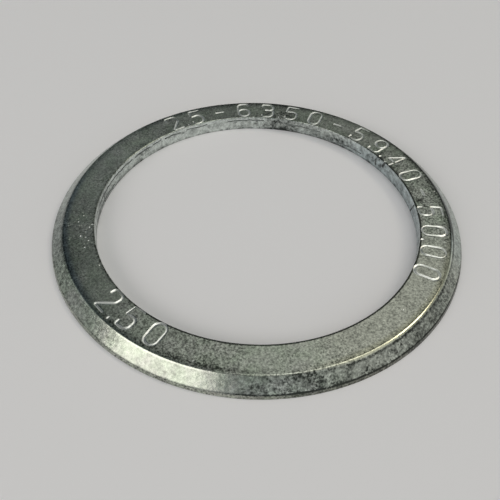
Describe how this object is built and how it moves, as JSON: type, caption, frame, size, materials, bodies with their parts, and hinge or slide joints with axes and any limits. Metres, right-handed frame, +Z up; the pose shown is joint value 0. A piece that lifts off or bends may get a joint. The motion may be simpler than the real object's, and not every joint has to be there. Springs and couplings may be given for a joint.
{
  "type": "bearing spacer ring",
  "caption": "Flat plated steel ring with a plain bore and a coned flank, which spaces a bearing from its neighbour on a shaft.",
  "frame": {"origin": "centre of the bore, on the plane of the base", "axes": "+Z up the bore, from the wide base to the narrower face, with the stamped mark at the front left, towards -X and -Y"},
  "size_m": [0.0634, 0.0634, 0.0025],
  "materials": {
    "plated_steel": "dull zinc plate over punched steel, lightly stained and worn bright on its edges"
  },
  "bodies": {
    "root": {"spacer_ring": "plated_steel"}
  },
  "joints": []
}
